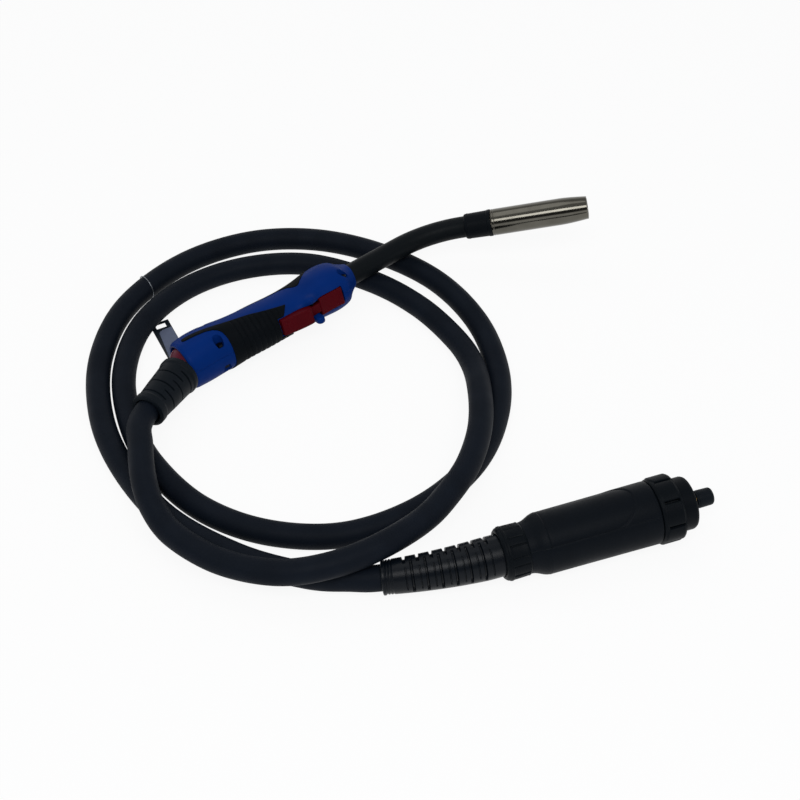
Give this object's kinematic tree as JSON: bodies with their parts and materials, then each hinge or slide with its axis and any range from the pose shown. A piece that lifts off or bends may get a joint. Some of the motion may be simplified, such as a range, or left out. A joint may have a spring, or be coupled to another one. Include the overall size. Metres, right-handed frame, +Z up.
{
  "type": "gas metal arc welding torch",
  "caption": "Hand-held wire welding torch: ball-jointed pistol-shaped handle with trigger, bent neck and gas nozzle, coiled coaxial cable with a central plug.",
  "frame": {"origin": "centre of the footprint of the torch and handle, on the surface it lies on", "axes": "+X towards the gas nozzle and the plug, +Y across the coil away from the plug, +Z up from the surface it lies on"},
  "size_m": [0.5, 0.4101, 0.0757],
  "materials": {
    "nozzle_metal": "satin nickel-plated",
    "black_insulator": "satin",
    "insulator": "fibre-reinforced, matt",
    "spring_steel": "bright",
    "brass": "machined",
    "copper": "machined copper",
    "neck_black": "satin insulating cover",
    "steel": "bright",
    "blue_plastic": "finely textured satin",
    "soft_black": "soft-touch",
    "black_steel": "blackened",
    "red_plastic": "satin",
    "black_plastic": "satin",
    "wire_white": "smooth",
    "lead_rubber": "matt",
    "white_plastic": "smooth",
    "boot_rubber": "matt",
    "cable_rubber": "matt, faint extrusion lines",
    "tie_black": "smooth",
    "tag_card": "smooth",
    "housing_plastic": "finely textured",
    "cap_rubber": "matt"
  },
  "bodies": {
    "cable": {"power_cable": "cable_rubber", "cable_ferrule": "brass", "coil_tie": "tie_black", "hang_tag": "tag_card", "cable_boot": "boot_rubber", "gland_nut": "black_plastic", "gland_seal": "boot_rubber", "housing_upper": "housing_plastic", "housing_lower": "housing_plastic", "housing_screws": "black_steel", "plug_core": "brass", "plug_face": "black_plastic", "plug_stem": "brass", "stem_ring": "boot_rubber", "pin_barrels": "brass", "retaining_ring": "spring_steel"},
    "ball": {"swivel_ball": "red_plastic", "swivel_boot": "boot_rubber"},
    "seat": {"ball_seat": "white_plastic"},
    "handle": {"handle_shell_left": "blue_plastic", "handle_shell_right": "blue_plastic", "grip_left": "soft_black", "grip_right": "soft_black", "thumb_pad_left": "soft_black", "thumb_pad_right": "soft_black", "shell_screws": "black_steel", "shell_nuts": "steel", "trigger_pin": "steel", "trigger_spring": "spring_steel", "microswitch": "black_plastic", "switch_wires": "wire_white", "core_lead": "lead_rubber", "neck_cover": "neck_black", "neck_core": "brass", "neck_nut": "brass", "wire_liner": "steel", "nozzle_sleeve": "black_insulator", "nozzle_seat": "insulator", "snap_ring": "spring_steel", "tip_holder": "brass", "contact_tip": "copper"},
    "trigger": {"trigger": "red_plastic"},
    "plunger": {"switch_plunger": "red_plastic"},
    "nozzle": {"gas_nozzle": "nozzle_metal"},
    "collar": {"collar_nut": "black_plastic"},
    "pin_a": {"control_pin_a": "brass"},
    "pin_b": {"control_pin_b": "brass"},
    "cap": {"stem_cap": "cap_rubber"}
  },
  "joints": [
    {"name": "cable_twist", "type": "hinge", "parent": "cable", "child": "ball", "pos_m": [-0.1505, -0.0485, 0.0219], "axis": [-0.4036, -0.9098, 0.0971], "range_deg": [0, 90]},
    {"name": "ball_tilt", "type": "hinge", "parent": "ball", "child": "seat", "pos_m": [-0.1505, -0.0485, 0.0219], "axis": [0.6088, -0.7934, 0], "range_deg": [0, 6]},
    {"name": "handle_roll", "type": "hinge", "parent": "seat", "child": "handle", "pos_m": [-0.1505, -0.0485, 0.0219], "axis": [-0.7925, -0.6081, -0.0471], "range_deg": [0, 60]},
    {"name": "trigger_pull", "type": "hinge", "parent": "handle", "child": "trigger", "pos_m": [-0.04992, 0.00457, 0.03304], "axis": [0.2137, -0.2045, -0.9552], "range_deg": [0, 4], "stiffness_Nm_per_rad": 0.9, "springref_deg": -4.98},
    {"name": "plunger_slide", "type": "slide", "parent": "handle", "child": "plunger", "axis": [-0.5712, 0.7671, -0.292], "range_m": [0, 0.0016]},
    {"name": "nozzle_pull", "type": "slide", "parent": "handle", "child": "nozzle", "axis": [0.9743, -0.0272, 0.2238], "range_m": [0, 0.06]},
    {"name": "collar_turn", "type": "hinge", "parent": "cable", "child": "collar", "pos_m": [0.21285, -0.2107, 0.02668], "axis": [0.9535, 0.2988, 0.0401], "continuous": true},
    {"name": "pin_a_press", "type": "slide", "parent": "cable", "child": "pin_a", "axis": [-0.9535, -0.2988, -0.0401], "range_m": [0, 0.002], "stiffness_N_per_m": 600, "springref_m": -0.002},
    {"name": "pin_b_press", "type": "slide", "parent": "cable", "child": "pin_b", "axis": [-0.9535, -0.2988, -0.0401], "range_m": [0, 0.002], "stiffness_N_per_m": 600, "springref_m": -0.002},
    {"name": "cap_pull", "type": "slide", "parent": "cable", "child": "cap", "axis": [0.9535, 0.2988, 0.0401], "range_m": [0, 0.02]}
  ],
  "couplings": [
    {"joint": "plunger_slide", "follows": "trigger_pull", "m_per_rad": 0.0187}
  ]
}
